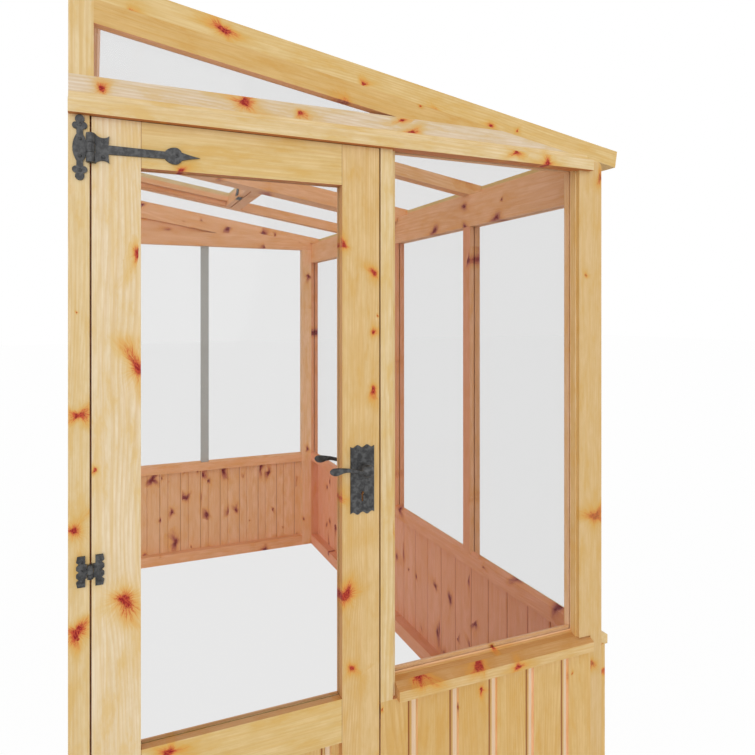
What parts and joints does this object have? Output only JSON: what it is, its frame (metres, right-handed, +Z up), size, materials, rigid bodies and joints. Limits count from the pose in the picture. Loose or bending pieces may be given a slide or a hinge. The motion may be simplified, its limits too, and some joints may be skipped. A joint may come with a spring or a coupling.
{
  "type": "lean-to greenhouse",
  "caption": "Pine lean-to greenhouse: glazed end with a ledged door on black strap hinges, boarded base, glazed long wall and a sloping glass roof with an opening vent.",
  "frame": {"origin": "On the ground, under the middle of the whole part seen from above.", "axes": "+X from the house wall side out to the low eaves, +Y from the door gable to the far gable, +Z up. Seen from the door, the wall side is on the left."},
  "size_m": [1.375, 2.5414, 2.0987],
  "materials": {
    "pine": "planed pine with a clear satin oil, knots showing",
    "pine_boards": "planed match boarding with a clear satin oil",
    "glass": "clear flat glass",
    "black_iron": "black japanned iron, softly hammered",
    "steel": "plain bright steel",
    "grey_strip": "matt grey glazing strip"
  },
  "bodies": {
    "frame": {"front_window_pane": "glass", "gable_window_pane": "glass", "far_window_panes": "glass", "side_window_panes": "glass", "front_posts": "pine", "front_head_rail": "pine", "gable_rake_rails": "pine", "front_window_rails": "pine", "door_threshold": "pine", "front_sill_capping": "pine", "front_drip_fillet": "pine", "front_cover_boards": "pine", "front_match_boards": "pine_boards", "far_match_boards": "pine_boards", "side_match_boards": "pine_boards", "far_posts": "pine", "far_rails": "pine", "far_gable_infill": "pine", "far_joint_strip": "grey_strip", "far_sill_capping": "pine", "far_cover_boards": "pine", "side_corner_posts": "pine", "side_middle_posts": "pine", "side_bottom_rail": "pine", "side_sill_rail": "pine", "side_eaves_plate": "pine", "side_sill_capping": "pine", "roof_panes": "glass", "roof_end_rafters": "pine", "roof_middle_rafters": "pine", "roof_joint_rafters": "pine", "roof_wall_rails": "pine", "roof_eaves_rails": "pine", "vent_trimmer": "pine", "vent_seat": "pine", "post_hinge_plates": "black_iron", "door_hinge_pins": "black_iron", "door_keep": "steel", "vent_fixed_leaves": "black_iron"},
    "door": {"door_hinge_straps": "black_iron", "door_hinge_stile": "pine", "door_lock_stile": "pine", "door_rails": "pine", "door_match_boards": "pine_boards", "door_pane": "glass", "door_handle_plates": "black_iron", "door_lock_case": "steel"},
    "levers": {"door_levers": "black_iron", "lever_spindle": "steel"},
    "latch_bolt": {"door_latch_bolt": "steel"},
    "dead_bolt": {"door_dead_bolt": "steel"},
    "roof_vent": {"vent_pane": "glass", "vent_stiles": "pine", "vent_rails": "pine", "vent_sash_leaves": "black_iron", "vent_pull_plate": "black_iron"},
    "turn_button": {"vent_turn_button": "black_iron"}
  },
  "joints": [
    {"name": "door_swing", "type": "hinge", "parent": "frame", "child": "door", "pos_m": [-0.6485, -1.23575, 0.911], "axis": [0, 0, -1], "range_deg": [0, 90]},
    {"name": "lever_turn", "type": "hinge", "parent": "door", "child": "levers", "pos_m": [-0.0815, -1.22735, 1.055], "axis": [0, -1, 0], "range_deg": [0, 40], "stiffness_Nm_per_rad": 1.2, "springref_deg": -28.65},
    {"name": "latch_slide", "type": "slide", "parent": "door", "child": "latch_bolt", "axis": [-1, 0, 0], "range_m": [0, 0.0025]},
    {"name": "dead_bolt_slide", "type": "slide", "parent": "door", "child": "dead_bolt", "axis": [1, 0, 0], "range_m": [0, 0.0115]},
    {"name": "vent_swing", "type": "hinge", "parent": "frame", "child": "roof_vent", "pos_m": [-0.62179, 0.3334, 2.09325], "axis": [0, -1, 0], "range_deg": [0, 45]},
    {"name": "vent_button_turn", "type": "hinge", "parent": "roof_vent", "child": "turn_button", "pos_m": [-0.04048, 0.3334, 1.9256], "axis": [0.158, 0, 0.9874], "range_deg": [0, 90]}
  ],
  "couplings": [
    {"joint": "latch_slide", "follows": "lever_turn", "m_per_rad": 0.003438}
  ]
}
